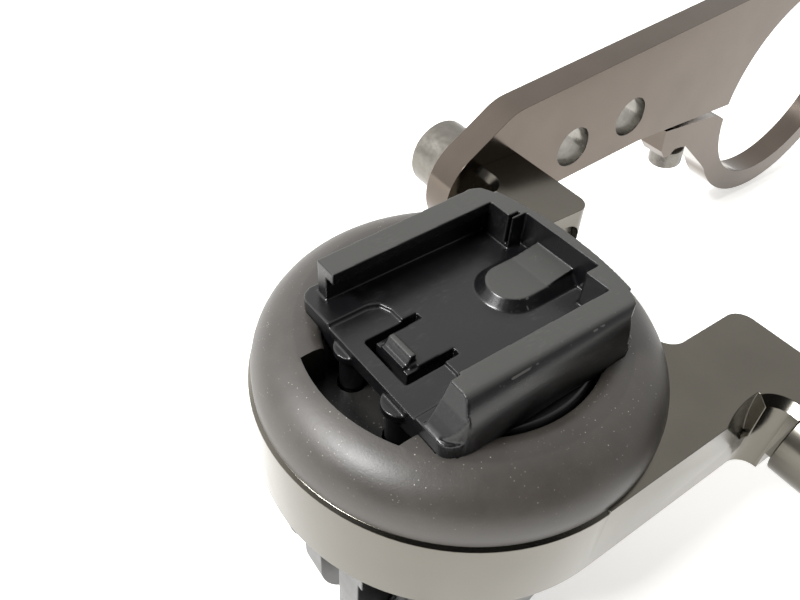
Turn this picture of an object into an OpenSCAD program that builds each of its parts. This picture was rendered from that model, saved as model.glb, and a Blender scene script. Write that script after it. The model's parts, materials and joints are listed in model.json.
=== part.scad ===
// Bike computer mount: a flat plate hung from two handlebar clamp arms, with a round collar and a
// slide-in computer cradle on top and a three-prong accessory fork underneath.
// Millimetres, +Z up, Y rearwards to the handlebar, origin at the middle of the ring's top face.

/* [Plate] */
// Outside diameter of the ring part of the plate
plate_d = 35.2; // [34:0.2:38]
// Thickness of the plate
plate_t = 8.4; // [8:0.1:10]
// Distance from the ring centre to the rear edge
plate_back = 25.9; // [25.4:0.1:28]
// Width of the rear notch between the two plate arms
notch_w = 18.8; // [16:0.2:21]
// Radius where the notch runs into the ring
notch_r = 2; // [1:0.1:3]
// Radius of the outer corners beside the notch
notch_corner = 1.7; // [0.8:0.1:2.2]
// Distance from the centre to the end face of the near boss
boss_near = 20.2; // [19.8:0.1:21.4]
// Distance from the centre to the end face of the far boss
boss_far = 21.6; // [20.6:0.1:22.4]
// Distance from the ring centre to the front wall of a boss
boss_front = 19.7; // [19:0.1:19.9]
// Upright fillet between the side of the plate and a boss
boss_fillet = 1.8; // [1.4:0.1:2.2]
// Chamfer on the top front edge of a boss
boss_cham = 0.8; // [0.5:0.1:1]
// Chamfer on the bottom front edge of a boss
boss_low_cham = 2.2; // [0.8:0.1:2.6]
// Small chamfer round the top of the ring
rim_cham = 0.3; // [0.2:0.05:0.6]
// Radius of the slanted scoop at the root of a boss
scoop_r = 6.7; // [5.6:0.1:7.6]
// Depth of the slanted scoop into the side of the plate
scoop_in = 0.95; // [0.5:0.05:1.1]

/* [Pivot] */
// Distance from the ring centre to the pivot axis
pivot_back = 22.5; // [22.3:0.1:22.8]
// Pivot bolt size
pivot_d = 5; // [4:0.5:5]
// Head diameter of the pivot bolt
pivot_head_d = 8.6; // [8:0.1:10]
// Head height of the pivot bolt
pivot_head_h = 5.4; // [4:0.1:6]
// Washer diameter under the head
washer_d = 9.6; // [9:0.2:12]
// Washer thickness
washer_t = 1.2; // [0.8:0.1:1.6]
// Running clearance of the arm eye on the bolt, on the radius
pivot_play = 0.05; // [0.03:0.01:0.1]
// Length of the spacer on the near side
spacer_l = 5.2; // [3:0.2:8]
// Outside diameter of the spacer
spacer_d = 8.4; // [7.6:0.2:10]

/* [Arms] */
// Thickness of the arms and clamp straps
arm_t = 3.8; // [3.6:0.1:5]
// Handlebar diameter
bar_d = 31.8; // [31.6:0.1:32]
// Wall of the clamp round the bar
clamp_wall = 3.4; // [3:0.1:4]
// Distance from the bar axis to the pivot along the arm
arm_reach = 61.9; // [56:0.1:68]
// Height of the pivot above the bar axis, square to the arm
arm_rise = 10; // [9.4:0.1:10.4]
// Width of the arm
arm_w = 13.8; // [13:0.1:14.4]
// Radius of the arm eye
eye_r = 6.7; // [6:0.1:7]
// Pitch of the arms in the pose of the photo
arm_pitch = 7.2; // [0:0.2:14]
// Diameter of the spare holes in the arm
spare_d = 5.4; // [4:0.1:6]
// Distance from the pivot to the first spare hole
spare_first = 13.5; // [12.6:0.1:14]
// Pitch of the spare holes
spare_pitch = 10.2; // [8:0.1:11]

/* [Clamp bolts] */
// Clamp bolt size
clamp_bolt_d = 2.5; // [2:0.1:2.6]
// Clamp bolt head diameter
clamp_head_d = 4.8; // [4:0.1:5.2]
// Clamp bolt head height
clamp_head_h = 2.7; // [2:0.1:3]
// Distance from the bar axis to a clamp bolt
clamp_bolt_x = 25.6; // [25:0.1:26.2]
// Gap between arm and strap at the front end of the split
split_gap = 0.4; // [0.3:0.05:0.6]
// Distance from the bar axis to the end of a clamp lug
lug_end = 29.6; // [29.2:0.1:31]

/* [Collar] */
// Outside diameter of the collar at the plate
collar_d = 34.6; // [33:0.2:34.8]
// Height of the collar
collar_h = 4.75; // [4.5:0.05:6]
// Inside diameter of the collar
collar_bore = 23; // [22.8:0.1:24]
// Diameter of the crest circle
collar_crest = 24.8; // [24.4:0.1:26]
// Floor web of the collar
collar_floor = 0.8; // [0.6:0.1:1.2]
// Radius of the front window pocket
window_r = 13.5; // [12.6:0.1:14.4]
// Left side of the window
window_left = 3.4; // [2.8:0.1:4]
// Right side of the window
window_right = 7.2; // [6.4:0.1:7.6]

/* [Cradle] */
// Diameter of the adapter disc
disc_d = 22.2; // [20:0.2:22.4]
// Thickness of the adapter disc
disc_t = 3.4; // [3:0.1:3.6]
// Distance from the centre to the flat at the front of the disc
disc_flat = 7.6; // [6:0.1:8]
// Sideways shift of the cradle from the ring centre
cradle_x = 0.5; // [0:0.1:0.8]
// Turn of the cradle on the disc
cradle_turn = 2; // [0:0.5:3]
// Thickness of the cradle floor
floor_t = 1.8; // [1.6:0.1:2.4]
// Height of the rails above the floor
rail_h = 3.3; // [2.8:0.1:4]
// Half width of the cradle at its foot
foot_half = 9.8; // [9.6:0.1:10.4]
// Half width over the rails at the front
rail_half = 8.6; // [8.4:0.1:9]
// Spread of each rail towards the rear
rail_spread = 0.6; // [0:0.1:0.8]
// Half width between the groove walls
groove_half = 7.3; // [7:0.1:7.4]
// Half width between the lips at the front
lip_half = 6.1; // [5.8:0.1:6.4]
// Thickness of the lips
lip_t = 1.1; // [0.9:0.1:1.4]
// Distance from the centre to the front edge of the floor
cradle_front = 10; // [9.8:0.1:10.4]
// Distance from the centre to the rear corner of the cradle
cradle_rear = 9; // [8.8:0.1:9.6]
// Bow of the rear wall
rear_bow = 1.3; // [0.8:0.1:1.5]
// Half width of the latch tongue
tongue_half = 1.95; // [1.6:0.05:2.2]
// Length of the latch tongue
tongue_l = 5; // [4:0.1:5.6]
// Width of the slot round the tongue
tongue_slot = 0.65; // [0.5:0.05:0.8]
// Sideways shift of the tongue in the cradle
tongue_x = 0.4; // [0:0.1:0.8]
// Height of the catch on the tongue
catch_h = 1.2; // [0.8:0.1:1.5]
// Half width of the raised stop pad
pad_half = 3; // [2.4:0.1:3.4]
// Height of the raised stop pad
pad_h = 0.9; // [0.6:0.1:1.2]

/* [Fork] */
// Distance of the fork screw in front of the ring centre
fork_front = 7.5; // [6:0.1:8]
// Height of the fork screw axis below the plate
fork_drop = 11; // [10:0.1:13]
// Radius of the prong ends
prong_r = 7.4; // [7:0.1:7.8]
// Thickness of a prong
prong_t = 3; // [2.8:0.1:3.2]
// Gap between prongs
prong_gap = 3.1; // [3:0.1:3.3]
// Thickness of the fork base
fork_base_t = 3; // [2.6:0.1:3.4]
// Screw size of the fork
fork_d = 5; // [4:0.5:5]
// Running clearance of the thumb bolt, on the radius
fork_play = 0.05; // [0.03:0.01:0.1]
// Diameter of the thumb knob
knob_d = 15; // [12:0.2:16]
// Length of the thumb knob
knob_l = 7; // [5:0.2:8]

/* [Hidden] */
$fn = 64;
r_plate = plate_d / 2;
z_mid = -plate_t / 2;
x_far = -boss_far;
x_near = boss_near + spacer_l;
clamp_or = bar_d / 2 + clamp_wall;
z_disc = collar_floor + disc_t;
z_floor = z_disc + floor_t;
z_rail = z_floor + rail_h;
bar_y = pivot_back + arm_reach * cos(arm_pitch) + arm_rise * sin(arm_pitch);
bar_z = z_mid + arm_reach * sin(arm_pitch) - arm_rise * cos(arm_pitch);
z_fork = -plate_t - fork_drop;
fork_half = 1.5 * prong_t + prong_gap;
seat_n = -1.2;
rear_seat_n = -2.4;
screw_spots = [[-2.1, -9.3], [4.3, -9.3], [-5.2, 5.4], [5.8, 5.4]];
fork_hole_x = 5;
fork_hole_y = 1.6;
fork_screw_d = 3;
fork_screw_head = 5.4;
// Straight edges and fillets sink this far into the rounds they meet, so that no sliver is left
sink = 0.02;
// Lower edge of the arm: level, then falling to the bore
low_n = clamp_or - arm_w;
split_n = 2.4;
split_u = -15.7;
fall_u = -35.6;
function arm_low(u) = split_n + (low_n - 0.44 - split_n) * (split_u - u) / (split_u - fall_u);

// Angle at which a straight edge touches two circles on the same side
function lean(c1, r1, c2, r2, side) = atan2(c2[1] - c1[1], c2[0] - c1[0])
    + side * acos((r1 - r2) / norm(c2 - c1));

// Point at angle a on a circle of radius r round c
function on(c, r, a) = [c[0] + r * cos(a), c[1] + r * sin(a)];

module ring(d_out, d_in, h) {
    difference() {
        cylinder(d = d_out, h = h);
        translate([0, 0, -1]) cylinder(d = d_in, h = h + 2);
    }
}

// Fillet where the side wall of the notch runs into the ring
module notch_fillet() {
    cx = notch_w / 2 - notch_r;
    cy = sqrt((r_plate + notch_r) * (r_plate + notch_r) - cx * cx);
    k = r_plate / (r_plate + notch_r);
    difference() {
        polygon([[cx * k, cy * k], [notch_w / 2, cy], [notch_w / 2 + 1, cy], [notch_w / 2 + 1, 10],
            [cx * k, 10]]);
        translate([cx, cy]) circle(r = notch_r + sink);
    }
}

module corner_round(r) {
    difference() {
        square([r, r]);
        circle(r = r);
    }
}

module plate_outline() {
    difference() {
        union() {
            circle(r = r_plate);
            translate([-r_plate, 0]) square([plate_d, plate_back]);
            translate([-boss_far, boss_front]) square([boss_far + boss_near, plate_back - boss_front]);
            for (s = [-1, 1]) scale([s, 1]) translate([r_plate + boss_fillet, boss_front - boss_fillet])
                difference() {
                    translate([-boss_fillet - 0.5, 0]) square(boss_fillet + 0.5);
                    circle(r = boss_fillet);
                }
        }
        difference() {
            translate([-notch_w / 2, 8]) square([notch_w, plate_back]);
            circle(r = r_plate);
            for (s = [-1, 1]) scale([s, 1]) notch_fillet();
        }
        for (s = [-1, 1]) scale([s, 1])
            translate([notch_w / 2 + notch_corner, plate_back - notch_corner])
                rotate(90) corner_round(notch_corner + 0.001);
    }
}

// Cuts at the front of one boss; x1 is its end face
module boss_cuts(x1) {
    xf = r_plate + boss_fillet;
    yf = boss_front - boss_fillet;
    // top chamfer, carried round the fillet
    translate([xf, yf, -boss_cham])
        cylinder(r1 = boss_fillet, r2 = boss_fillet + boss_cham + 0.5, h = boss_cham + 0.5);
    translate([xf, 0, 0]) rotate([90, 0, 90]) linear_extrude(x1 - xf + 1)
        polygon([[yf, -boss_cham], [boss_front, -boss_cham], [boss_front + boss_cham + 0.5, 0.5],
            [yf, 0.5]]);
    // lower chamfer
    translate([xf, 0, -plate_t]) rotate([90, 0, 90]) linear_extrude(x1 - xf + 1)
        polygon([[yf, boss_low_cham], [boss_front, boss_low_cham], [boss_front + boss_low_cham + 0.5, -0.5],
            [yf, -0.5]]);
    // slanted scoop in the side of the plate
    intersection() {
        translate([r_plate - scoop_in + scoop_r, yf + 0.1, 0]) rotate([42, 0, 0])
            translate([0, 0, -12]) cylinder(r = scoop_r, h = 24, $fn = 96);
        translate([xf - 5, yf - 8, -4.75]) cube([5 + x1 - xf + 1, 8.8, 6]);
    }
}

module body_plate() {
    color([0.20, 0.20, 0.20])
    difference() {
        translate([0, 0, -plate_t]) linear_extrude(plate_t) plate_outline();
        // small chamfer round the front of the ring
        intersection() {
            rotate_extrude() polygon([[r_plate - rim_cham, 0.01], [r_plate + 1, 0.01],
                [r_plate + 1, -rim_cham - 1], [r_plate, -rim_cham]]);
            translate([-30, -60, -5]) cube([60, 60, 6]);
        }
        boss_cuts(boss_near);
        mirror([1, 0, 0]) boss_cuts(boss_far);
        // tapped bores for the pivot bolts
        translate([-boss_far - 1, pivot_back, z_mid]) rotate([0, 90, 0])
            cylinder(d = pivot_d, h = boss_far + boss_near + 2);
        // holes for the four cradle screws, sunk from below
        for (p = screw_spots) translate([p[0], p[1], -plate_t - 1]) {
            cylinder(d = 2.4, h = plate_t + 2);
            cylinder(d = 4.4, h = 3.6);
        }
        // tapped holes for the fork
        for (s = [-1, 1]) translate([s * fork_hole_x, fork_hole_y, -plate_t - 1])
            cylinder(d = fork_screw_d, h = 6.5);
    }
}

function dome(n) = [for (i = [0 : n]) let (a = 90 * i / n)
    [collar_crest / 2 + (collar_d - collar_crest) / 2 * cos(a), 0.6 + (collar_h - 0.6) * sin(a)]];

module dome_collar() {
    color([0.13, 0.125, 0.12])
    difference() {
        rotate_extrude() polygon(concat([[0, 0], [collar_d / 2, 0]], dome(14),
            [[collar_bore / 2 + 0.25, collar_h - 0.1], [collar_bore / 2, collar_h - 0.35],
            [collar_bore / 2, collar_floor], [0, collar_floor]]));
        // finger window at the front
        intersection() {
            translate([0, 0, collar_floor]) cylinder(r = window_r, h = 10);
            translate([-window_left, -20, 0]) cube([window_left + window_right, 18, 12]);
        }
        for (p = screw_spots) translate([p[0], p[1], -1]) cylinder(d = 2.4, h = 3);
        // relief where the foot of the cradle lies over the crest
        translate([cradle_x, 0, z_disc]) rotate([0, 0, cradle_turn]) {
            linear_extrude(2) foot_plan(0.04);
            rear_arc(cradle_rear + 0.04, 2);
        }
    }
}

module adapter_disc() {
    color([0.14, 0.14, 0.14])
    translate([0, 0, collar_floor]) difference() {
        union() {
            cylinder(d = disc_d, h = disc_t - 0.3);
            translate([0, 0, disc_t - 0.3]) cylinder(d1 = disc_d, d2 = disc_d - 0.6, h = 0.3);
        }
        translate([-20, -40 - disc_flat, -1]) cube([40, 40, 8]);
        for (i = [2, 3]) translate([screw_spots[i][0], screw_spots[i][1], -1]) cylinder(d = 2.4, h = 8);
    }
}

// Plan of the cradle walls: w0 half width at the front, w1 at the rear
module cradle_plan(w0, w1, yf, yr) {
    polygon([[-w0, yf], [w0, yf], [w1, yr - 1.4], [w1 - 0.4, yr - 0.5], [w1 - 1.4, yr],
        [-w1 + 1.4, yr], [-w1 + 0.4, yr - 0.5], [-w1, yr - 1.4]]);
}

// Bowed rear wall
module rear_arc(yr, h) {
    rr = 30;
    intersection() {
        translate([0, yr + rear_bow - rr, 0]) cylinder(r = rr, h = h, $fn = 180);
        translate([-rail_half + 1, 0, 0]) cube([2 * rail_half - 2, yr + rear_bow + 1, h]);
    }
}

// Plan of the cradle's foot, grown by g
module foot_plan(g) {
    yf = -cradle_front + 1;
    h = foot_half + g;
    cradle_plan(h - 0.4, h, yf - g, cradle_rear + g);
    polygon([[-h + 1.6, yf - 1 - g], [h - 1.6, yf - 1 - g], [h - 0.4, yf - g], [-h + 0.4, yf - g]]);
}

module cradle_shell() {
    w1 = rail_half + rail_spread;
    yf = -cradle_front + 1;
    translate([0, 0, z_disc]) linear_extrude(floor_t) foot_plan(0);
    translate([0, 0, z_floor]) linear_extrude(rail_h) cradle_plan(rail_half, w1, yf + 0.4, cradle_rear);
    translate([0, 0, z_disc]) rear_arc(cradle_rear, z_rail - z_disc);
    // lobes under the front edge
    intersection() {
        for (x = [-3.2, 4]) translate([x, -cradle_front, z_disc + 0.4]) rotate([-90, 0, 0])
            cylinder(r = 1.7, h = 2.2);
        translate([-20, -20, z_disc - 3]) cube([40, 40, 3.5]);
    }
}

module cradle_cuts() {
    yr = cradle_rear - 1.2;
    // channel between the lips
    translate([0, 0, z_floor]) linear_extrude(rail_h + 1)
        polygon([[-lip_half, -20], [lip_half, -20], [lip_half + rail_spread, yr],
            [-lip_half - rail_spread, yr]]);
    // grooves under the lips
    translate([0, 0, z_floor]) linear_extrude(rail_h - lip_t)
        polygon([[-groove_half, -20], [groove_half, -20], [groove_half, yr], [-groove_half, yr]]);
    // recess in the rear wall, with the slot beside it
    translate([-3.9, 0, z_floor]) cube([8.2, cradle_rear + 0.3, rail_h + 1]);
    // shallow dip round the tongue
    translate([tongue_x, 0, z_floor - 0.3]) linear_extrude(1)
        polygon([[-5.4, -20], [5.4, -20], [5.4, -6.4], [5, -5.4], [4, -5], [-4, -5], [-5, -5.4],
            [-5.4, -6.4]]);
    // slot round the tongue
    translate([tongue_x, -8.6, z_disc - 3]) difference() {
        translate([-tongue_half - tongue_slot, 0, 0])
            cube([2 * tongue_half + 2 * tongue_slot, tongue_l, 8]);
        translate([-tongue_half, tongue_slot, -1]) cube([2 * tongue_half, tongue_l, 10]);
    }
}

module cradle_features() {
    // catch on the tongue
    translate([tongue_x - 1.65, -8.3 + tongue_slot, z_floor - 0.5]) rotate([90, 0, 90])
        linear_extrude(3.3)
            polygon([[0, 0], [1.8, 0], [1.5, catch_h + 0.5], [0.9, catch_h + 0.5]]);
    // raised stop pad with sloped sides
    translate([0, 1.4 + pad_half, z_floor - 0.1]) {
        cylinder(r1 = pad_half, r2 = pad_half - pad_h, h = pad_h + 0.1);
        rotate([-90, 0, 0]) linear_extrude(cradle_rear - 1.2 - pad_half)
            polygon([[-pad_half, 0], [-pad_half + pad_h, -pad_h - 0.1],
                [pad_half - pad_h, -pad_h - 0.1], [pad_half, 0]]);
    }
    // ramp behind the pad
    translate([-2.1, 6.4, z_floor]) rotate([90, 0, 90]) linear_extrude(4.2)
        polygon([[0, 0], [cradle_rear - 6.2, 0], [cradle_rear - 6.2, 1.8], [0, pad_h]]);
}

module computer_cradle() {
    color([0.11, 0.11, 0.11]) difference() {
        union() {
            translate([cradle_x, 0, 0]) rotate([0, 0, cradle_turn]) {
                difference() {
                    union() {
                        cradle_shell();
                        // screw posts, set to stand over the front screws
                        rotate([0, 0, -cradle_turn]) translate([-cradle_x, 0, 0]) for (i = [0, 1])
                            translate([screw_spots[i][0], screw_spots[i][1], collar_floor])
                                cylinder(d = 2.9, h = z_disc - collar_floor + 0.8);
                    }
                    cradle_cuts();
                }
                cradle_features();
            }
        }
        for (i = [0, 1]) translate([screw_spots[i][0], screw_spots[i][1], -1])
            cylinder(d = 1.8, h = z_disc + 1.4);
        for (i = [2, 3]) translate([screw_spots[i][0], screw_spots[i][1], z_disc - 1])
            cylinder(d = 2.2, h = floor_t + 0.6);
    }
}

module cradle_screw(i) {
    z1 = i < 2 ? z_disc + 0.4 : z_disc + floor_t - 0.4;
    color([0.30, 0.30, 0.31])
    translate([screw_spots[i][0], screw_spots[i][1], 0]) {
        translate([0, 0, -plate_t + 0.6]) difference() {
            cylinder(d = 4.2, h = 2);
            translate([0, 0, -1]) cylinder(d = 2.2, h = 2, $fn = 6);
        }
        translate([0, 0, -plate_t + 2.4]) cylinder(d = i < 2 ? 1.8 : 2.2, h = z1 + plate_t - 2.4);
    }
}

module cradle_screw_left() cradle_screw(0);
module cradle_screw_right() cradle_screw(1);
module cradle_screw_rear_left() cradle_screw(2);
module cradle_screw_rear_right() cradle_screw(3);

// Pivot bolt; side is 1 near, -1 far, x is the outer face of the arm
module pivot_bolt(side, x) {
    l = abs(x) + washer_t - notch_w / 2 - 1;
    color([0.16, 0.16, 0.16])
    translate([x + side * washer_t, pivot_back, z_mid]) rotate([0, side * 90, 0]) {
        difference() {
            union() {
                cylinder(d = pivot_head_d, h = pivot_head_h - 0.4);
                translate([0, 0, pivot_head_h - 0.4])
                    cylinder(d1 = pivot_head_d, d2 = pivot_head_d - 0.8, h = 0.4);
            }
            translate([0, 0, pivot_head_h - 2.8]) cylinder(d = 4.6, h = 4, $fn = 6);
        }
        translate([0, 0, -l]) cylinder(d = pivot_d, h = l + 0.5);
    }
}

module washer(side, x) {
    color([0.20, 0.20, 0.20])
    translate([x, pivot_back, z_mid]) rotate([0, side * 90, 0]) ring(washer_d, pivot_d, washer_t);
}

module pivot_bolt_far() pivot_bolt(-1, x_far - arm_t);
module pivot_washer_far() washer(-1, x_far - arm_t);
module pivot_bolt_near() pivot_bolt(1, x_near + arm_t);
module pivot_washer_near() washer(1, x_near + arm_t);

module near_spacer() {
    color([0.17, 0.17, 0.17])
    translate([boss_near, pivot_back, z_mid]) rotate([0, 90, 0]) ring(spacer_d, pivot_d, spacer_l);
}

// Stands a profile drawn flat about the bar axis upright at x, pitched like the arms
module stand(x) {
    translate([x, bar_y, bar_z]) rotate([arm_pitch, 0, 0]) rotate([90, 0, 90]) children();
}

// Fills the corner between the clamp ring and the level top of the rear lug
module lug_fillet(n0, r) {
    cx = sqrt((clamp_or + r) * (clamp_or + r) - (n0 + r) * (n0 + r));
    k = clamp_or / (clamp_or + r);
    difference() {
        polygon([[cx * k - 2, n0 - 0.2], [cx, n0 - 0.2], [cx, n0 + r], [cx * k, (n0 + r) * k]]);
        translate([cx, n0 + r]) circle(r = r + sink);
    }
}

module arm_flat() {
    eye = [-arm_reach, arm_rise];
    bend = [-arm_reach + 4.9, clamp_or - 6];
    heel = [-arm_reach + 9.9, low_n + 0.1];
    difference() {
        union() {
            translate(eye) circle(r = eye_r);
            translate(bend) circle(r = 6);
            circle(r = clamp_or);
            polygon([eye, on(eye, eye_r - sink, lean(eye, eye_r, heel, 0, -1)), heel, [heel[0] + 2, low_n],
                [fall_u, low_n - 0.44], [split_u, split_n], [0, split_n], [0, clamp_or],
                [bend[0], clamp_or], on(bend, 6 - sink, lean(eye, eye_r, bend, 6, 1)),
                on(eye, eye_r - sink, lean(eye, eye_r, bend, 6, 1))]);
            // rear lug
            polygon([[0, 0], [lug_end, 0], [lug_end, 7.4], [lug_end - 1, 8.4], [10, 8.4]]);
            lug_fillet(8.4, 3);
        }
        // the strap takes everything below the split
        polygon([[fall_u, low_n - 0.44], [split_u, split_n], [0, split_n], [0, 1.4], [60, 1.4],
            [60, -40], [fall_u, -40]]);
        circle(d = bar_d);
        translate(eye) circle(r = pivot_d / 2 + pivot_play);
        for (i = [0, 1]) translate([eye[0] + spare_first + i * spare_pitch, arm_rise])
            circle(d = spare_d);
    }
}

module strap_flat() {
    difference() {
        union() {
            circle(r = clamp_or);
            polygon([[-lug_end, 8], [-lug_end, 0.4], [-lug_end + 1, seat_n], [-lug_end + 5.6, seat_n],
                [-21.8, -3.6], [-18.5, -7.2], [-14, -12.5], [0, 0], [-10, 8]]);
            polygon([[10, 4], [0, 0], [14, -12.5], [18.5, -7.2], [lug_end - 6.2, rear_seat_n],
                [lug_end - 1, rear_seat_n], [lug_end, rear_seat_n + 1], [lug_end, 4]]);
        }
        polygon([[-60, arm_low(-lug_end) - split_gap], [-lug_end, arm_low(-lug_end) - split_gap],
            [-17.8, arm_low(-17.8) - 1.2], [-15.9, 0], [0, 0], [15.9, -0.4], [17.4, 0.6], [60, 0.6],
            [60, 60], [-60, 60]]);
        circle(d = bar_d);
    }
}

// Clamp bolt bores; s is -1 for the front lug, 1 for the rear lug
module lug_bore(s, x, n0, n1) {
    stand(x) translate([s * clamp_bolt_x, n0, arm_t / 2]) rotate([-90, 0, 0])
        cylinder(d = clamp_bolt_d, h = n1 - n0);
}

module arm(x) {
    color([0.21, 0.21, 0.205]) difference() {
        stand(x) linear_extrude(arm_t) arm_flat();
        lug_bore(-1, x, -1, 10.5);
        lug_bore(1, x, -1, 6.8);
    }
}

module strap(x) {
    color([0.21, 0.21, 0.205]) difference() {
        stand(x) linear_extrude(arm_t) strap_flat();
        for (s = [-1, 1]) lug_bore(s, x, -8, 12);
        // spot face for the head of the front bolt
        stand(x) translate([-clamp_bolt_x, seat_n - 6, arm_t / 2]) rotate([-90, 0, 0])
            cylinder(d = clamp_head_d + 0.4, h = 6);
    }
}

module clamp_bolt(s, x) {
    n0 = s < 0 ? seat_n : rear_seat_n;
    n1 = s < 0 ? 10 : 6.4;
    color([0.75, 0.75, 0.74])
    stand(x) translate([s * clamp_bolt_x, n0, arm_t / 2]) rotate([-90, 0, 0]) {
        translate([0, 0, -clamp_head_h]) difference() {
            cylinder(d = clamp_head_d, h = clamp_head_h);
            translate([0, 0, -1]) cylinder(d = 2.4, h = 2.4, $fn = 6);
        }
        translate([0, 0, -0.3]) cylinder(d = clamp_bolt_d, h = n1 - n0 + 0.3);
    }
}

module far_arm() arm(x_far - arm_t);
module far_strap() strap(x_far - arm_t);
module far_clamp_bolt_front() clamp_bolt(-1, x_far - arm_t);
module far_clamp_bolt_rear() clamp_bolt(1, x_far - arm_t);
module near_arm() arm(x_near);
module near_strap() strap(x_near);
module near_clamp_bolt_front() clamp_bolt(-1, x_near);
module near_clamp_bolt_rear() clamp_bolt(1, x_near);

module accessory_fork() {
    color([0.15, 0.15, 0.15])
    difference() {
        union() {
            translate([-fork_half - 0.6, -fork_front - prong_r, -plate_t - fork_base_t])
                cube([2 * fork_half + 1.2, 2 * prong_r + 6.6, fork_base_t]);
            for (i = [-1 : 1]) translate([i * (prong_t + prong_gap) - prong_t / 2, -fork_front, 0])
                rotate([90, 0, 90]) linear_extrude(prong_t) union() {
                    translate([0, z_fork]) circle(r = prong_r);
                    translate([-prong_r, z_fork]) square([2 * prong_r, fork_drop - 0.5]);
                }
        }
        translate([-20, -fork_front, z_fork]) rotate([0, 90, 0])
            cylinder(r = fork_d / 2 + fork_play, h = 40);
        for (s = [-1, 1]) translate([s * fork_hole_x, fork_hole_y, -plate_t - fork_base_t - 3]) {
            cylinder(d = fork_screw_d + 0.2, h = 12);
            cylinder(d = fork_screw_head + 0.4, h = 4.4);
        }
    }
}

module fork_screw(s) {
    color([0.30, 0.30, 0.31])
    translate([s * fork_hole_x, fork_hole_y, -plate_t - fork_base_t - 1.4]) {
        difference() {
            cylinder(d = fork_screw_head, h = 2.8);
            translate([0, 0, -1]) cylinder(d = 2.5, h = 2.4, $fn = 6);
        }
        translate([0, 0, 2.4]) cylinder(d = fork_screw_d, h = fork_base_t + 4);
    }
}

module fork_screw_left() fork_screw(-1);
module fork_screw_right() fork_screw(1);

module thumb_bolt() {
    color([0.62, 0.62, 0.62])
    translate([-fork_half - 4.4, -fork_front, z_fork]) rotate([0, 90, 0])
        cylinder(d = fork_d, h = 2 * fork_half + 4.4 + knob_l - 1.5);
}

module thumb_knob() {
    color([0.12, 0.12, 0.12])
    translate([fork_half, -fork_front, z_fork]) rotate([0, 90, 0]) difference() {
        union() {
            cylinder(d = fork_d + 4, h = 1.4);
            translate([0, 0, 1.2]) cylinder(d = knob_d, h = knob_l - 1.2);
        }
        for (a = [0 : 45 : 315]) rotate(a) translate([knob_d / 2 + 1, 0, 1.1])
            cylinder(r = 2, h = knob_l + 1);
        translate([0, 0, -1]) cylinder(d = fork_d, h = knob_l - 0.5);
    }
}

module lock_nut() {
    color([0.62, 0.62, 0.62])
    translate([-fork_half - 4, -fork_front, z_fork]) rotate([0, 90, 0]) difference() {
        cylinder(d = 8.8, h = 4, $fn = 6);
        translate([0, 0, -1]) cylinder(d = fork_d + 2 * fork_play, h = 6);
    }
}

body_plate();
dome_collar();
adapter_disc();
computer_cradle();
cradle_screw_left();
cradle_screw_right();
cradle_screw_rear_left();
cradle_screw_rear_right();
pivot_bolt_far();
pivot_washer_far();
pivot_bolt_near();
pivot_washer_near();
near_spacer();
far_arm();
far_strap();
far_clamp_bolt_front();
far_clamp_bolt_rear();
near_arm();
near_strap();
near_clamp_bolt_front();
near_clamp_bolt_rear();
accessory_fork();
fork_screw_left();
fork_screw_right();
thumb_bolt();
thumb_knob();
lock_nut();
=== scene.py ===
"""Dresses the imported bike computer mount: softened parts, their finishes, and a plain studio."""

import json
import math

import bmesh
import bpy
from mathutils import Matrix, Quaternion, Vector


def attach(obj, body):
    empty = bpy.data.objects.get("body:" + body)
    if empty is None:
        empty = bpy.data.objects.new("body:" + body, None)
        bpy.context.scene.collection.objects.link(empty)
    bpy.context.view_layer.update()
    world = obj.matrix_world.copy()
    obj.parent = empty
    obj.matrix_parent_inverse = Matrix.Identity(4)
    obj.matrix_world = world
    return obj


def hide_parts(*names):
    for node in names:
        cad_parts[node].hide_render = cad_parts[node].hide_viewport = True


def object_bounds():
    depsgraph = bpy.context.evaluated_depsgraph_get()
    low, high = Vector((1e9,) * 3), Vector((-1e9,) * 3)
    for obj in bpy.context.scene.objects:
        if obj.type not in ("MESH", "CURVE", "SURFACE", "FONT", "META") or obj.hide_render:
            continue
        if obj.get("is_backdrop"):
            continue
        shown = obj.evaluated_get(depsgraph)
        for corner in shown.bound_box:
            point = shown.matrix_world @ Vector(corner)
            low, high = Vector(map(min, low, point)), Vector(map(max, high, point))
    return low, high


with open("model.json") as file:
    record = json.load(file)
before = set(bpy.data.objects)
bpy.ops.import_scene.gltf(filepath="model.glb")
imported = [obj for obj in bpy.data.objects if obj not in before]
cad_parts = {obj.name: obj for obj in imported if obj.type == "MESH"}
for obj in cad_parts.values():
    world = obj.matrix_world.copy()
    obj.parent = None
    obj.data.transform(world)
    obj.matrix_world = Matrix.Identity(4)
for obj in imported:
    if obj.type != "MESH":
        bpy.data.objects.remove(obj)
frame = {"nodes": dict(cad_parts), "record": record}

bl_info = {
    "name": "Bike computer mount",
    "version": (1, 0, 0),
    "blender": (4, 5, 0),
    "location": "3D View > Sidebar > Mount",
    "description": "Builds the visible parts of an out-front bike computer mount and its studio",
    "category": "Object",
}

MM = 0.001
# outer radius of the well in the collar
WELL_MM = 13.55
# where the cradle lies on the plate: its offset to the right and its turn
CRADLE_RIGHT_MM = 0.5
CRADLE_TURN_DEGREES = 2.0
# step of the arcs in the cradle: 15 degrees
STEP_15 = 0.2618
# heights in the cradle where its drafted wall starts, and of the flat top of its rails
FOOT_Z, RAIL_Z = 4.5, 9.3
BODY_OF = {
    node: body
    for body, nodes in frame["record"]["behaviour"]["bodies"].items()
    for node in nodes
}
SLOT_OF = {part["node"]: part["material_slot"] for part in frame["record"]["subparts"]}


def linear(hex_colour):
    """Turns an sRGB hex value into linear red, green, blue and alpha."""
    parts = [int(hex_colour[i : i + 2], 16) / 255 for i in (1, 3, 5)]
    return tuple(p / 12.92 if p <= 0.04045 else ((p + 0.055) / 1.055) ** 2.4 for p in parts) + (1.0,)


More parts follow.
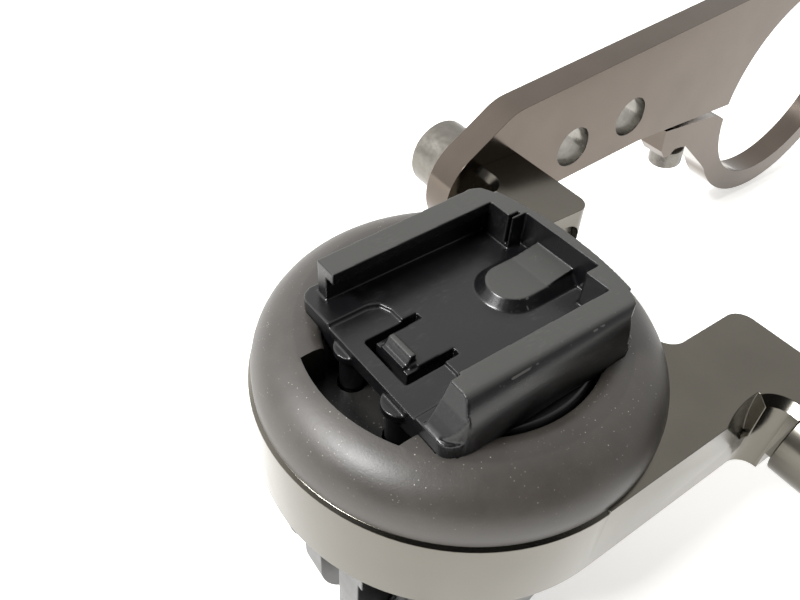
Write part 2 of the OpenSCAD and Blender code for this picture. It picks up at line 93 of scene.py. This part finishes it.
def colour_setting(name, description, hex_colour):
    return bpy.props.FloatVectorProperty(
        name=name,
        description=description,
        subtype="COLOR",
        size=4,
        min=0.0,
        max=1.0,
        default=linear(hex_colour),
    )


def length_setting(name, description, millimetres):
    return bpy.props.FloatProperty(
        name=name,
        description=description,
        default=millimetres * MM,
        min=0.0,
        precision=5,
        unit="LENGTH",
    )


class MountSizes(bpy.types.PropertyGroup):
    """Sizes of the softened edges and of the studio."""

    plate_edge: length_setting("Plate edge", "Break on the milled edges of the plate", 0.12)
    arm_edge: length_setting("Arm edge", "Break on the cut edges of the arms and straps", 0.14)
    collar_edge: length_setting("Collar edge", "Rounding on the moulded edges of the collar", 0.18)
    cradle_edge: length_setting("Cradle edge", "Rounding on the moulded edges of the cradle", 0.16)
    bolt_edge: length_setting("Bolt edge", "Rounding on bolt heads, washers and the nut", 0.14)
    fork_edge: length_setting("Fork edge", "Rounding on the fork and the knob", 0.3)
    floor_half: length_setting("Floor half width", "Half the width of the studio floor", 2500.0)


class MountColours(bpy.types.PropertyGroup):
    """Colours of the finishes."""

    anodised: colour_setting("Anodised plate", "Black dye of the anodised plate", "#68655e")
    arm_dye: colour_setting("Anodised arms", "Black dye of the arms, a little warmer", "#665e57")
    collar: colour_setting("Collar", "Brown-black of the soft collar", "#36322e")
    dust: colour_setting("Dust", "Pale dust that lies on the collar", "#b7ada2")
    moulding: colour_setting("Moulding", "Black of the cradle, disc, fork and knob", "#0e0e10")
    oxide: colour_setting("Black oxide", "Black oxide on the pivot bolts", "#7d7a74")
    steel: colour_setting("Steel", "Plain stainless of the small bolts", "#7a7772")
    floor: colour_setting("Floor", "Pale studio floor", "#f6f5f2")


def add_node(tree, kind, inputs=None, **settings):
    """Adds one node, sets its attributes, and fills or links its inputs."""
    made = tree.nodes.new(kind)
    for key, value in settings.items():
        setattr(made, key, value)
    for key, value in (inputs or {}).items():
        if isinstance(value, bpy.types.NodeSocket):
            tree.links.new(value, made.inputs[key])
        else:
            made.inputs[key].default_value = value
    return made


def start_material(name):
    """An empty material with its shader and output, and the object's own coordinates in metres."""
    material = bpy.data.materials.new(name)
    material.use_nodes = True
    tree = material.node_tree
    tree.nodes.clear()
    shader = add_node(tree, "ShaderNodeBsdfPrincipled")
    add_node(tree, "ShaderNodeOutputMaterial", {"Surface": shader.outputs[0]})
    where = add_node(tree, "ShaderNodeTexCoord").outputs["Object"]
    return material, tree, shader, where


def per_mm(size_mm):
    """Texture scale at which one cell of a pattern measures size_mm."""
    return 1.0 / (size_mm * MM)


def noise(tree, where, size_mm, detail=3.0, rough=0.5):
    return add_node(
        tree,
        "ShaderNodeTexNoise",
        {"Vector": where, "Scale": per_mm(size_mm), "Detail": detail, "Roughness": rough},
    ).outputs[0]


def remap(tree, value, low, high, to_low, to_high):
    return add_node(
        tree,
        "ShaderNodeMapRange",
        {"Value": value, "From Min": low, "From Max": high, "To Min": to_low, "To Max": to_high},
        clamp=True,
    ).outputs[0]


def blend_colour(tree, amount, first, second):
    made = add_node(tree, "ShaderNodeMix", data_type="RGBA")
    for key, value in ((0, amount), (6, first), (7, second)):
        if isinstance(value, bpy.types.NodeSocket):
            tree.links.new(value, made.inputs[key])
        else:
            made.inputs[key].default_value = value
    return made.outputs[2]


def shade(colour, factor):
    return tuple(c * factor for c in colour[:3]) + (1.0,)


def anodised_aluminium(name, colour, grain_mm, roughness, stretch=(1, 1, 1)):
    """Milled aluminium, fine blasted and black anodised: a dark metal with soft clear reflections."""
    material, tree, shader, where = start_material(name)
    turned = add_node(tree, "ShaderNodeMapping", {"Vector": where, "Scale": stretch}).outputs[0]
    # blast grain is 0.05 mm, drawn coarser so that it shows
    grain = noise(tree, turned, grain_mm, 2.0)
    # handling marks a few millimetres across dull the dye a little
    smear = noise(tree, where, 6.0, 4.0)
    patch = remap(tree, smear, 0.3, 0.7, 0.0, 1.0)
    tint = blend_colour(tree, patch, shade(colour, 0.93), shade(colour, 1.06))
    rough = remap(tree, smear, 0.3, 0.7, roughness - 0.03, roughness + 0.04)
    bump = add_node(
        tree, "ShaderNodeBump", {"Strength": 0.12, "Distance": 0.01 * MM, "Height": grain}
    ).outputs[0]
    tree.links.new(tint, shader.inputs["Base Color"])
    tree.links.new(rough, shader.inputs["Roughness"])
    tree.links.new(bump, shader.inputs["Normal"])
    shader.inputs["Metallic"].default_value = 1.0
    return material


def moulded_elastomer(name, colour, dust):
    """Moulded thermoplastic elastomer: matte, fine leathery grain, brown bloom, and dust on its crown."""
    material, tree, shader, where = start_material(name)
    # moulding grain is about 0.1 mm, drawn at 0.16 mm
    grain = noise(tree, where, 0.16, 3.0, 0.6)
    pores = noise(tree, where, 0.6, 2.0, 0.5)
    bloom = noise(tree, where, 5.0, 5.0, 0.6)
    bleached = remap(tree, bloom, 0.35, 0.68, 0.0, 1.0)
    body = blend_colour(tree, bleached, shade(colour, 0.85), shade(colour, 1.35))
    # painted shade: the floor and wall of the well are darkened to near black, most at the bottom, standing in
    # for the shade that falls in the recess
    across = add_node(
        tree, "ShaderNodeVectorMath", {0: where, 1: (1.0, 1.0, 0.0)}, operation="MULTIPLY"
    ).outputs[0]
    radius = add_node(tree, "ShaderNodeVectorMath", {0: across}, operation="LENGTH").outputs["Value"]
    height = add_node(tree, "ShaderNodeSeparateXYZ", {0: where}).outputs[2]
    painted_well_shade = add_node(
        tree,
        "ShaderNodeMath",
        {
            0: remap(tree, radius, WELL_MM * MM, (WELL_MM + 0.2) * MM, 0.9, 0.0),
            1: remap(tree, height, 1.0 * MM, 5.0 * MM, 1.0, 0.2),
        },
        operation="MULTIPLY",
    ).outputs[0]
    # the painted shade of the well goes into the collar's colour here
    body = blend_colour(tree, painted_well_shade, body, linear("#0d0d0c"))
    # dust specks are about 0.1 mm across, in cells of 0.3 mm, and lie on faces that look upwards
    speck_place = add_node(
        tree,
        "ShaderNodeTexVoronoi",
        {"Vector": where, "Scale": per_mm(0.3), "Randomness": 1.0},
        feature="F1",
    )
    speck = remap(tree, speck_place.outputs["Distance"], 0.06, 0.2, 1.0, 0.0)
    chosen = remap(
        tree,
        add_node(tree, "ShaderNodeSeparateColor", {0: speck_place.outputs["Color"]}).outputs[0],
        0.5,
        0.85,
        0.0,
        1.0,
    )
    up = add_node(
        tree, "ShaderNodeSeparateXYZ", {0: add_node(tree, "ShaderNodeNewGeometry").outputs["Normal"]}
    ).outputs[2]
    upward = remap(tree, up, 0.2, 0.8, 0.0, 1.0)
    patches = remap(tree, noise(tree, where, 4.0, 3.0), 0.42, 0.6, 0.15, 1.0)
    dusty = add_node(tree, "ShaderNodeMath", {0: speck, 1: chosen}, operation="MULTIPLY").outputs[0]
    dusty = add_node(tree, "ShaderNodeMath", {0: dusty, 1: upward}, operation="MULTIPLY").outputs[0]
    dusty = add_node(tree, "ShaderNodeMath", {0: dusty, 1: patches}, operation="MULTIPLY").outputs[0]
    dusty = add_node(tree, "ShaderNodeMath", {0: dusty, 1: 0.8}, operation="MULTIPLY").outputs[0]
    tint = blend_colour(tree, dusty, body, dust)
    height = add_node(tree, "ShaderNodeMath", {0: grain, 1: pores}, operation="ADD").outputs[0]
    bump = add_node(
        tree, "ShaderNodeBump", {"Strength": 0.16, "Distance": 0.05 * MM, "Height": height}
    ).outputs[0]
    rough = remap(tree, bloom, 0.3, 0.7, 0.4, 0.5)
    tree.links.new(tint, shader.inputs["Base Color"])
    tree.links.new(rough, shader.inputs["Roughness"])
    tree.links.new(bump, shader.inputs["Normal"])
    shader.inputs["IOR"].default_value = 1.66
    return material


def moulded_nylon(name, colour, wear_and_highlight_amount, roughness=0.3):
    """Injection moulded black nylon: satin black, rubbed grey on raised faces, and paler sharp edges that are
    part wear, part painted highlight.
    """
    material, tree, shader, where = start_material(name)
    texture = noise(tree, where, 0.3, 3.0)
    # rubs of the computer foot run along the rails, about 0.15 mm apart
    along = add_node(tree, "ShaderNodeMapping", {"Vector": where, "Scale": (1.0, 0.2, 1.0)}).outputs[0]
    rub = noise(tree, along, 0.16, 4.0)
    cloud = noise(tree, where, 3.5, 4.0, 0.6)
    point = add_node(tree, "ShaderNodeNewGeometry").outputs["Pointiness"]
    # only bends of the mesh itself count as edges here; they are drawn paler, part edge wear and part painted
    # highlight
    edge = remap(tree, point, 0.6, 0.72, 0.0, wear_and_highlight_amount)
    scuffed = add_node(
        tree,
        "ShaderNodeMath",
        {0: remap(tree, cloud, 0.5, 0.68, 0.0, 1.0), 1: remap(tree, rub, 0.5, 0.75, 0.0, 0.4 * wear_and_highlight_amount)},
        operation="MULTIPLY",
    ).outputs[0]
    wear_and_edge_highlight = add_node(tree, "ShaderNodeMath", {0: edge, 1: scuffed}, operation="MAXIMUM").outputs[0]
    # raised faces that look up, above 6.5 mm, are rubbed dull by the computer and by hands
    height = add_node(tree, "ShaderNodeSeparateXYZ", {0: where}).outputs[2]
    up = add_node(
        tree, "ShaderNodeSeparateXYZ", {0: add_node(tree, "ShaderNodeNewGeometry").outputs["Normal"]}
    ).outputs[2]
    raised = add_node(
        tree,
        "ShaderNodeMath",
        {
            0: remap(tree, height, 6.35 * MM, 6.75 * MM, 0.0, 1.0),
            1: remap(tree, up, 0.75, 0.98, 0.0, 1.0),
        },
        operation="MULTIPLY",
    ).outputs[0]
    mottle = remap(tree, cloud, 0.3, 0.7, 0.0, 1.0)
    body = blend_colour(tree, mottle, shade(colour, 0.75), shade(colour, 1.25))
    body = blend_colour(tree, raised, body, linear("#3c3c3a"))
    # the pale grey on the edges is part wear, part a painted highlight along them
    tint = blend_colour(tree, wear_and_edge_highlight, body, linear("#7f7e7b"))
    rough = add_node(
        tree,
        "ShaderNodeMath",
        {
            0: remap(tree, cloud, 0.3, 0.7, roughness - 0.04, roughness + 0.06),
            1: remap(tree, raised, 0, 1, 0, 0.16),
        },
        operation="ADD",
    ).outputs[0]
    bump = add_node(
        tree, "ShaderNodeBump", {"Strength": 0.15, "Distance": 0.03 * MM, "Height": texture}
    ).outputs[0]
    tree.links.new(tint, shader.inputs["Base Color"])
    tree.links.new(rough, shader.inputs["Roughness"])
    tree.links.new(bump, shader.inputs["Normal"])
    shader.inputs["IOR"].default_value = 1.53
    return material


def turned_steel(name, colour, roughness):
    """Cold headed steel: smooth metal with a faint turning grain and small handling marks."""
    material, tree, shader, where = start_material(name)
    mark = noise(tree, where, 0.8, 4.0)
    grain = noise(tree, where, 0.15, 2.0)
    handled = remap(tree, mark, 0.35, 0.65, 0.0, 1.0)
    tint = blend_colour(tree, handled, shade(colour, 0.85), shade(colour, 1.05))
    bump = add_node(
        tree, "ShaderNodeBump", {"Strength": 0.1, "Distance": 0.02 * MM, "Height": grain}
    ).outputs[0]
    tree.links.new(tint, shader.inputs["Base Color"])
    rough = remap(tree, mark, 0.3, 0.7, roughness - 0.05, roughness + 0.08)
    tree.links.new(rough, shader.inputs["Roughness"])
    tree.links.new(bump, shader.inputs["Normal"])
    shader.inputs["Metallic"].default_value = 1.0
    return material


def kept(name, maker, *values):
    """The named material, made on first use."""
    return bpy.data.materials.get(name) or maker(name, *values)


def finish_for(slot):
    """The material that a record slot stands for."""
    colours = bpy.context.scene.mount_colours
    if slot == "anodised_plate":
        dye = tuple(colours.anodised)
        return kept("Black anodised aluminium, milled", anodised_aluminium, dye, 0.14, 0.2)
    if slot == "anodised_arm":
        dye = tuple(colours.arm_dye)
        return kept("Black anodised aluminium, brushed", anodised_aluminium, dye, 0.12, 0.15, (1, 0.12, 1))
    if slot == "collar_rubber":
        skin, dust = tuple(colours.collar), tuple(colours.dust)
        return kept("Thermoplastic elastomer, moulded", moulded_elastomer, skin, dust)
    if slot == "moulded_black":
        return kept("Black nylon, moulded", moulded_nylon, tuple(colours.moulding), 0.3)
    if slot == "reamed_bore":
        return kept("Bare aluminium, reamed", turned_steel, linear("#8d8b86"), 0.2)
    if slot == "silver_bolt":
        return kept("Stainless steel, cold headed", turned_steel, tuple(colours.steel), 0.24)
    return kept("Steel, black oxide", turned_steel, tuple(colours.oxide), 0.34)


def softened(node, width, segments=2, sharp_degrees=28.0):
    """A copy of a CAD node with clean faces and rounded edges, standing in for the node."""
    source = frame["nodes"][node]
    mesh = source.data.copy()
    mesh.name = "fine_" + node
    work = bmesh.new()
    work.from_mesh(mesh)
    bmesh.ops.remove_doubles(work, verts=work.verts, dist=2e-6)
    bmesh.ops.dissolve_degenerate(work, edges=work.edges, dist=2e-6)
    bmesh.ops.dissolve_limit(
        work, angle_limit=math.radians(0.6), verts=work.verts, edges=work.edges, use_dissolve_boundaries=False
    )
    limit = math.radians(sharp_degrees)
    for edge in work.edges:
        edge.smooth = len(edge.link_faces) == 2 and edge.calc_face_angle(0.0) < limit
    for face in work.faces:
        face.smooth = True
    work.to_mesh(mesh)
    work.free()
    piece = bpy.data.objects.new("fine_" + node, mesh)
    bpy.context.scene.collection.objects.link(piece)
    mesh.materials.clear()
    mesh.materials.append(finish_for(SLOT_OF[node]))
    rounding = piece.modifiers.new("Edges", "BEVEL")
    rounding.width = width
    rounding.segments = segments
    rounding.limit_method = "ANGLE"
    rounding.angle_limit = limit
    rounding.use_clamp_overlap = True
    rounding.harden_normals = True
    rounding.miter_outer = "MITER_ARC"
    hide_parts(node)
    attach(piece, BODY_OF[node])
    return piece


def bake(piece):
    """Puts the result of a piece's modifiers into its mesh."""
    bpy.context.view_layer.update()
    made = bpy.data.meshes.new_from_object(piece.evaluated_get(bpy.context.evaluated_depsgraph_get()))
    old = piece.data
    piece.modifiers.clear()
    piece.data = made
    bpy.data.meshes.remove(old)


def loft(axis, start, end, outline, end_outline=None):
    """A solid between two like outlines, in the cradle's own millimetres."""
    order = {"X": (2, 0, 1), "Y": (0, 2, 1), "Z": (0, 1, 2)}[axis]
    work = bmesh.new()
    rings = []
    for place, points in ((start, outline), (end, end_outline or outline)):
        rings.append([work.verts.new([(a, b, place)[k] for k in order]) for a, b in points])
    count = len(outline)
    work.faces.new(rings[0])
    work.faces.new(rings[1])
    for i in range(count):
        j = (i + 1) % count
        work.faces.new((rings[0][i], rings[0][j], rings[1][j], rings[1][i]))
    bmesh.ops.recalc_face_normals(work, faces=work.faces)
    mesh = bpy.data.meshes.new("tool")
    work.to_mesh(mesh)
    work.free()
    tool = bpy.data.objects.new("tool", mesh)
    bpy.context.scene.collection.objects.link(tool)
    return tool


def block(x0, x1, y0, y1, z0, z1):
    return loft("Z", z0, z1, [(x0, y0), (x1, y0), (x1, y1), (x0, y1)])


def carve(piece, tool, operation):
    """Joins a tool to the piece or cuts it away, and clears the tool."""
    cutter = piece.modifiers.new("Carve", "BOOLEAN")
    cutter.solver = "EXACT"
    cutter.operation = operation
    cutter.object = tool
    bake(piece)
    mesh = tool.data
    bpy.data.objects.remove(tool)
    bpy.data.meshes.remove(mesh)


def moulded(piece, voxel_mm, smoothing, keep):
    """Turns a sharp solid in millimetres into an evenly softened moulding."""
    remesh = piece.modifiers.new("Skin", "REMESH")
    remesh.mode = "VOXEL"
    remesh.voxel_size = voxel_mm
    remesh.use_smooth_shade = True
    soften = piece.modifiers.new("Soften", "SMOOTH")
    soften.factor = 0.5
    soften.iterations = smoothing
    thin = piece.modifiers.new("Thin", "DECIMATE")
    thin.ratio = keep
    bake(piece)
    for face in piece.data.polygons:
        face.use_smooth = True


def rounded_wall(top_x, foot_x, fullness):
    """Outline of the cradle's outer wall, from its foot up and over to its flat top."""
    outline = []
    steps = 16
    for step in range(steps + 1):
        t = step * math.pi / (2 * steps)
        outline.append(
            (
                top_x + (foot_x - top_x) * math.cos(t) ** (2 / fullness),
                FOOT_Z + (RAIL_Z - FOOT_Z) * math.sin(t) ** (2 / fullness),
            )
        )
    return outline


def fine_cradle():
    """The cradle: its CAD solid with a drafted wall, rounded rail, lower catch and ramp, moulded soft."""
    source = frame["nodes"]["computer_cradle"]
    shift = Vector((CRADLE_RIGHT_MM, 0.0, 0.0))
    turn = Matrix.Rotation(math.radians(CRADLE_TURN_DEGREES), 4, "Z")
    place = Matrix.Scale(MM, 4) @ Matrix.Translation(shift) @ turn
    mesh = source.data.copy()
    mesh.transform(place.inverted())
    work = bmesh.new()
    work.from_mesh(mesh)
    bmesh.ops.remove_doubles(work, verts=work.verts, dist=0.002)
    work.to_mesh(mesh)
    work.free()
    piece = bpy.data.objects.new("fine_computer_cradle", mesh)
    bpy.context.scene.collection.objects.link(piece)
    # the tongue is level with the floor, and its catch is low and narrow
    carve(piece, block(-1.5, 2.3, -6.9, -3.7, 5.1, 6.0), "UNION")
    carve(piece, block(-1.9, 2.9, -8.3, -4.6, 6.0, 8.2), "DIFFERENCE")
    catch = [(-7.93, 5.5), (-6.72, 5.5), (-6.72, 6.62), (-6.82, 6.72)]
    catch += [(-7.16, 6.72), (-7.3, 6.6), (-7.58, 6.0), (-7.93, 5.94)]
    carve(piece, loft("X", -0.95, 1.8, catch), "UNION")
    # ramp behind the stop pad
    carve(piece, loft("X", -2.3, 2.3, [(6.4, 6.92), (9.25, 7.3), (9.25, 8.6), (6.4, 8.6)]), "DIFFERENCE")
    # the right rail starts further back than the left one, and its lip further still
    carve(piece, block(5.2, 10.4, -9.8, -7.9, 6.0, 10.5), "DIFFERENCE")
    carve(piece, block(5.2, 6.6, -8.1, -6.95, 6.0, 10.5), "DIFFERENCE")
    # its end slopes down into the foot, whose front corners are round
    ends = ((-7.9, 9.72, 9.25), (-8.5, 9.62, 8.0), (-9.1, 9.34, 7.0), (-9.55, 8.9, 6.35), (-9.95, 8.15, 5.98))
    for (y0, x0, z0), (y1, x1, z1) in zip(ends, ends[1:]):
        slope = [[(6.6, 4.6), (x, 4.6), (x - 0.3, z), (6.6, z)] for x, z in ((x0, z0), (x1, z1))]
        carve(piece, loft("Y", y0 + 0.01, y1, slope[0], slope[1]), "UNION")
    for side in (-1, 1):
        arc = []
        for a in range(7):
            t = a * STEP_15
            arc.append((side * (8.15 + 1.2 * math.sin(t)), -8.75 - 1.25 * math.cos(t)))
        carve(piece, loft("Z", 4.2, 5.98, arc + [(side * 7.2, -8.75), (side * 7.2, -10.0)]), "UNION")
    # drafted outer wall on the right, flush with the foot and rounded over at the top
    wide = [rounded_wall(8.0, 9.82, 2.3), rounded_wall(8.65, 9.88, 2.6)]
    carve(piece, loft("Y", -7.95, 7.6, wide[0] + [(7.7, 4.5)], wide[1] + [(8.3, 4.5)]), "UNION")
    cut = [rounded_wall(7.8, 9.72, 2.2), rounded_wall(8.45, 9.79, 2.5)]
    outside = [(7.8, 10.5), (12.0, 10.5), (12.0, 4.4)]
    carve(piece, loft("Y", -8.3, 10.6, cut[0] + outside, cut[1] + outside), "DIFFERENCE")
    # tabs that carry on the front face below the floor, and slim posts behind them
    carve(piece, block(-8.0, 8.0, -11.0, -7.4, 0.0, 4.28), "DIFFERENCE")
    for middle in (-4.5, 5.0):
        tab = [(middle - 1.9, 4.6), (middle - 1.5, 3.9), (middle - 1.0, 3.5), (middle - 0.2, 3.35)]
        tab += [(middle + 0.7, 3.5), (middle + 1.5, 3.9), (middle + 2.6, 4.6)]
        carve(piece, loft("Y", -10.0, -9.0, tab), "UNION")
    ring = [(math.cos(a * STEP_15), math.sin(a * STEP_15)) for a in range(24)]
    for x, y in ((-2.92, -9.2), (3.47, -9.43)):
        carve(piece, loft("Z", 0.85, 4.6, [(x + 1.02 * c, y + 1.02 * w) for c, w in ring]), "UNION")
    # slot that leaves a thin post beside the recess
    carve(piece, block(-4.42, -4.12, 7.78, 8.9, 6.3, 10.0), "DIFFERENCE")
    moulded(piece, 0.09, 5, 0.6)
    piece.data.transform(place)
    piece.data.materials.clear()
    piece.data.materials.append(finish_for("moulded_black"))
    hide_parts("computer_cradle")
    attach(piece, BODY_OF["computer_cradle"])
    return piece


def polished_bore(name, body, x0, x1, centre, radius):
    """The bright reamed skin of a hole along X: a thin tube with rounded mouths, in millimetres."""
    work = bmesh.new()
    half = (x1 - x0) / 2
    inside, outside = radius - 0.03, radius - 0.002
    profile = [(-half, inside + 0.02), (-half + 0.12, inside), (half - 0.12, inside), (half, inside + 0.02)]
    profile += [(half, outside), (-half, outside)]
    turns, corners = 48, len(profile)
    rings = []
    for step in range(turns):
        a = step * math.tau / turns
        ring = []
        for x, r in profile:
            y, z = centre[0] + r * math.cos(a), centre[1] + r * math.sin(a)
            ring.append(work.verts.new(((x0 + half + x) * MM, y * MM, z * MM)))
        rings.append(ring)
    for step in range(turns):
        here, there = rings[step], rings[(step + 1) % turns]
        for k in range(corners):
            after = (k + 1) % corners
            work.faces.new((here[k], there[k], there[after], here[after])).smooth = True
    bmesh.ops.recalc_face_normals(work, faces=work.faces)
    mesh = bpy.data.meshes.new(name)
    work.to_mesh(mesh)
    work.free()
    mesh.materials.append(finish_for("reamed_bore"))
    piece = bpy.data.objects.new(name, mesh)
    bpy.context.scene.collection.objects.link(piece)
    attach(piece, body)


class MOUNT_OT_plate(bpy.types.Operator):
    """Makes the milled plate and the round spacer beside it"""

    bl_idname = "mount.plate"
    bl_label = "Plate and spacer"

    def execute(self, context):
        sizes = context.scene.mount_sizes
        for node in ("body_plate", "near_spacer"):
            softened(node, sizes.plate_edge)
        return {"FINISHED"}


class MOUNT_OT_collar(bpy.types.Operator):
    """Makes the soft round collar"""

    bl_idname = "mount.collar"
    bl_label = "Collar"

    def execute(self, context):
        softened("dome_collar", context.scene.mount_sizes.collar_edge, 3, 40.0)
        return {"FINISHED"}


class MOUNT_OT_cradle(bpy.types.Operator):
    """Makes the computer cradle, its disc and the four screws that hold them"""

    bl_idname = "mount.cradle"
    bl_label = "Cradle"

    def execute(self, context):
        sizes = context.scene.mount_sizes
        fine_cradle()
        softened("adapter_disc", sizes.cradle_edge)
        for spot in ("left", "right", "rear_left", "rear_right"):
            softened("cradle_screw_" + spot, sizes.bolt_edge)
        return {"FINISHED"}


class MOUNT_OT_arms(bpy.types.Operator):
    """Makes both handlebar clamp arms and their straps"""

    bl_idname = "mount.arms"
    bl_label = "Clamp arms"

    def execute(self, context):
        for side in ("far", "near"):
            for part in ("arm", "strap"):
                softened(side + "_" + part, context.scene.mount_sizes.arm_edge)
        for mount in frame["record"]["mounts"]:
            if mount["kind"] == "bore":
                x, y, z = (value / MM for value in mount["pos_m"])
                side = mount["name"].split("_")[0]
                half = mount["dims"]["length_mm"] / 2
                name, radius = "bore_" + mount["name"], mount["dims"]["r_mm"]
                polished_bore(name, side + "_arm_set", x - half, x + half, (y, z), radius)
        return {"FINISHED"}


class MOUNT_OT_bolts(bpy.types.Operator):
    """Makes the pivot bolts, washers and clamp bolts"""

    bl_idname = "mount.bolts"
    bl_label = "Bolts and washers"

    def execute(self, context):
        for side in ("far", "near"):
            for node in ("pivot_bolt_" + side, "pivot_washer_" + side):
                softened(node, context.scene.mount_sizes.bolt_edge, 3)
            for end in ("front", "rear"):
                softened(side + "_clamp_bolt_" + end, context.scene.mount_sizes.bolt_edge)
        return {"FINISHED"}


class MOUNT_OT_fork(bpy.types.Operator):
    """Makes the accessory fork with its screws, thumb bolt, knob and nut"""

    bl_idname = "mount.fork"
    bl_label = "Accessory fork"

    def execute(self, context):
        sizes = context.scene.mount_sizes
        for node in ("accessory_fork", "thumb_knob"):
            softened(node, sizes.fork_edge)
        for node in ("fork_screw_left", "fork_screw_right", "thumb_bolt", "lock_nut"):
            softened(node, sizes.bolt_edge)
        return {"FINISHED"}


def studio_floor_material(colour):
    """Matt white board, a little brighter to the eye than to the object, which keeps the shadow."""
    material, tree, shader, where = start_material("Matt white board")
    speckle = noise(tree, where, 40.0, 3.0)
    tint = blend_colour(tree, remap(tree, speckle, 0.3, 0.7, 0.0, 1.0), shade(colour, 0.985), colour)
    tree.links.new(tint, shader.inputs["Base Color"])
    shader.inputs["Roughness"].default_value = 0.8
    shader.inputs["Specular IOR Level"].default_value = 0.0
    seen = add_node(tree, "ShaderNodeLightPath")
    glow = add_node(
        tree,
        "ShaderNodeMath",
        {0: seen.outputs["Is Camera Ray"], 1: seen.outputs["Is Glossy Ray"]},
        operation="MAXIMUM",
    ).outputs[0]
    glow = add_node(
        tree, "ShaderNodeMath", {0: glow, 1: seen.outputs["Is Transmission Ray"]}, operation="MAXIMUM"
    ).outputs[0]
    shader.inputs["Emission Color"].default_value = (1.0, 0.995, 0.985, 1.0)
    strength = add_node(tree, "ShaderNodeMath", {0: glow, 1: 0.55}, operation="MULTIPLY").outputs[0]
    tree.links.new(strength, shader.inputs["Emission Strength"])
    return material


def studio_light(name, place, aim, width, height, power, colour=(1.0, 1.0, 1.0)):
    lamp = bpy.data.lights.new(name, "AREA")
    lamp.shape = "RECTANGLE"
    lamp.size = width
    lamp.size_y = height
    lamp.energy = power
    lamp.color = colour
    made = bpy.data.objects.new(name, lamp)
    made.location = place
    made.rotation_mode = "QUATERNION"
    made.rotation_quaternion = (Vector(aim) - Vector(place)).to_track_quat("-Z", "Y")
    bpy.context.scene.collection.objects.link(made)
    return made


def studio_world():
    """A pale room: plain white to the camera; to the object, dim at the front right and bright at the left."""
    world = bpy.data.worlds.new("Pale room")
    bpy.context.scene.world = world
    world.use_nodes = True
    tree = world.node_tree
    tree.nodes.clear()
    way = add_node(tree, "ShaderNodeTexCoord").outputs["Generated"]

    def towards(azimuth, elevation):
        a, e = math.radians(azimuth), math.radians(elevation)
        return (math.cos(a) * math.cos(e), math.sin(a) * math.cos(e), math.sin(e))

    # the dim side of the room lies to the front right, and the bright wall to the left
    dim = add_node(
        tree, "ShaderNodeVectorMath", {0: way, 1: towards(-30, 25)}, operation="DOT_PRODUCT"
    ).outputs["Value"]
    bright = add_node(
        tree, "ShaderNodeVectorMath", {0: way, 1: towards(-160, 20)}, operation="DOT_PRODUCT"
    ).outputs["Value"]
    level = add_node(
        tree,
        "ShaderNodeMath",
        {0: remap(tree, dim, 0.0, 0.75, 1.0, 0.03), 1: remap(tree, bright, 0.45, 0.95, 0.0, 0.45)},
        operation="ADD",
    ).outputs[0]
    room = add_node(
        tree, "ShaderNodeBackground", {"Color": (1.0, 0.985, 0.965, 1.0), "Strength": level}
    )
    white = add_node(tree, "ShaderNodeBackground", {"Color": (1.0, 1.0, 1.0, 1.0), "Strength": 1.0})
    seen = add_node(tree, "ShaderNodeLightPath")
    both = add_node(
        tree,
        "ShaderNodeMixShader",
        {0: seen.outputs["Is Camera Ray"], 1: room.outputs[0], 2: white.outputs[0]},
    )
    add_node(tree, "ShaderNodeOutputWorld", {"Surface": both.outputs[0]})


class MOUNT_OT_studio(bpy.types.Operator):
    """Makes the floor, the light and the camera"""

    bl_idname = "mount.studio"
    bl_label = "Studio"

    def execute(self, context):
        scene = context.scene
        scene.view_settings.view_transform = "Standard"
        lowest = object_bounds()[0].z
        half = scene.mount_sizes.floor_half
        mesh = bpy.data.meshes.new("floor")
        mesh.from_pydata(
            [(-half, -half, lowest), (half, -half, lowest), (half, half, lowest), (-half, half, lowest)],
            [],
            [(0, 1, 2, 3)],
        )
        floor = bpy.data.objects.new("floor", mesh)
        mesh.materials.append(studio_floor_material(tuple(scene.mount_colours.floor)))
        scene.collection.objects.link(floor)
        floor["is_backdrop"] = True
        studio_world()
        # window in front, which puts the soft streak on the collar's crown
        studio_light("Window", (-0.12, -0.55, 0.66), (0.0, 0.0, 0.0), 0.3, 0.14, 11.0)
        lens = bpy.data.cameras.new("Camera")
        lens.sensor_width = 36.0
        lens.lens = 33.2446
        lens.clip_start = 0.001
        camera = bpy.data.objects.new("Camera", lens)
        turn = Quaternion((0.8113678, 0.3588481, 0.1632757, 0.4315686))
        stand = Matrix.Translation((0.0304008, -0.0299110, 0.0465461))
        camera.matrix_world = stand @ turn.to_matrix().to_4x4()
        scene.collection.objects.link(camera)
        scene.camera = camera
        return {"FINISHED"}


class MOUNT_PT_panel(bpy.types.Panel):
    """Lists the pieces and the settings of the mount"""

    bl_idname = "MOUNT_PT_panel"
    bl_label = "Bike computer mount"
    bl_space_type = "VIEW_3D"
    bl_region_type = "UI"
    bl_category = "Mount"

    def draw(self, context):
        for operator in OPERATORS:
            self.layout.operator(operator.bl_idname)
        for group in (context.scene.mount_sizes, context.scene.mount_colours):
            box = self.layout.box()
            for key in group.__annotations__:
                box.prop(group, key)


OPERATORS = (
    MOUNT_OT_plate,
    MOUNT_OT_collar,
    MOUNT_OT_cradle,
    MOUNT_OT_arms,
    MOUNT_OT_bolts,
    MOUNT_OT_fork,
    MOUNT_OT_studio,
)
CLASSES = (MountSizes, MountColours) + OPERATORS + (MOUNT_PT_panel,)


def register():
    for made in CLASSES:
        bpy.utils.register_class(made)
    bpy.types.Scene.mount_sizes = bpy.props.PointerProperty(type=MountSizes)
    bpy.types.Scene.mount_colours = bpy.props.PointerProperty(type=MountColours)


def unregister():
    del bpy.types.Scene.mount_colours
    del bpy.types.Scene.mount_sizes
    for made in reversed(CLASSES):
        bpy.utils.unregister_class(made)


def main():
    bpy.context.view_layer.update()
    register()
    bpy.ops.mount.plate()
    bpy.ops.mount.collar()
    bpy.ops.mount.cradle()
    bpy.ops.mount.arms()
    bpy.ops.mount.bolts()
    bpy.ops.mount.fork()
    bpy.ops.mount.studio()
    bpy.context.view_layer.update()


if __name__ == "__main__":
    main()
